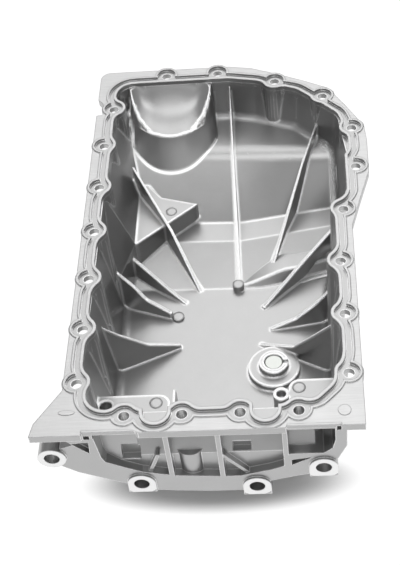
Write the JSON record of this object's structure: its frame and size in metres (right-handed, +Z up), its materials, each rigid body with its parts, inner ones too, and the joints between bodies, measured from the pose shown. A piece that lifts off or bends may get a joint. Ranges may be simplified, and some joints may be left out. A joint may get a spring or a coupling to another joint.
{
  "type": "engine oil pan",
  "caption": "Deep cast aluminium engine oil pan with a scalloped bolt flange, sealing groove, radial floor fins, gearbox face with lugs and a screwed drain plug.",
  "frame": {"origin": "centre of the bounding box in plan, at the flat underside of the sump", "axes": "+X across the engine, +Y along it away from the gearbox face, +Z up out of the pan"},
  "size_m": [0.2698, 0.4311, 0.105],
  "materials": {
    "cast_aluminium": "as cast, satin, with milled joint faces",
    "plated_steel": "zinc plated, satin",
    "washer_aluminium": "plain"
  },
  "bodies": {
    "root": {"oil_pan": "cast_aluminium", "drain_plug": "plated_steel", "drain_plug_washer": "washer_aluminium"}
  },
  "joints": []
}
